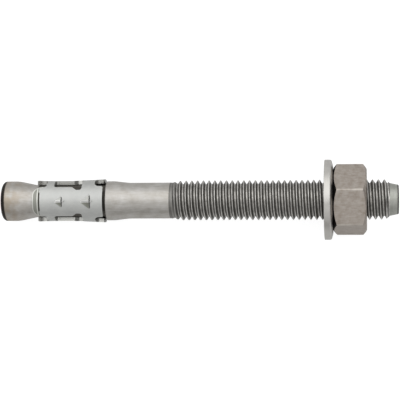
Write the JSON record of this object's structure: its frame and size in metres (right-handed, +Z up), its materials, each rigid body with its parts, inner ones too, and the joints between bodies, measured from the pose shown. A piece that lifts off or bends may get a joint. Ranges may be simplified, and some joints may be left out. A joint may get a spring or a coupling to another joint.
{
  "type": "wedge anchor",
  "caption": "Stud-type wedge anchor for drilled holes: a threaded bolt with a cone end, a slotted expansion clip, a flat washer and a hex nut.",
  "frame": {"origin": "on the floor that the anchor lies on, under the middle of its length", "axes": "+X along the anchor from its cone end to its tip, +Z up; the stud's own axis rises towards the tip, because the anchor lies on its washer's rim and the edge of its cone end"},
  "size_m": [0.1204, 0.024, 0.0241],
  "materials": {
    "stud": "drawn and rolled stainless steel, satin",
    "clip": "stamped stainless steel sheet, bright satin",
    "washer": "stamped stainless steel, satin",
    "nut": "machined stainless steel, dull satin"
  },
  "bodies": {
    "stud": {"anchor_stud": "stud"},
    "clip": {"expansion_clip": "clip"},
    "washer": {"washer": "washer"},
    "nut": {"hex_nut": "nut"}
  },
  "joints": [
    {"name": "clip_turn", "type": "hinge", "parent": "stud", "child": "clip", "pos_m": [-0.0391, 0, 0.00724], "axis": [0.9981, 0, 0.0613], "continuous": true},
    {"name": "washer_slide", "type": "slide", "parent": "stud", "child": "washer", "axis": [0.9981, 0, 0.0613], "range_m": [-0.04637, 0.01487]},
    {"name": "nut_turn", "type": "hinge", "parent": "washer", "child": "nut", "pos_m": [0.04549, 0, 0.01244], "axis": [0.9981, 0, 0.0613], "range_deg": [-9541, 3061]}
  ],
  "couplings": [
    {"joint": "nut_turn", "follows": "washer_slide", "rad_per_m": 3590.4}
  ]
}
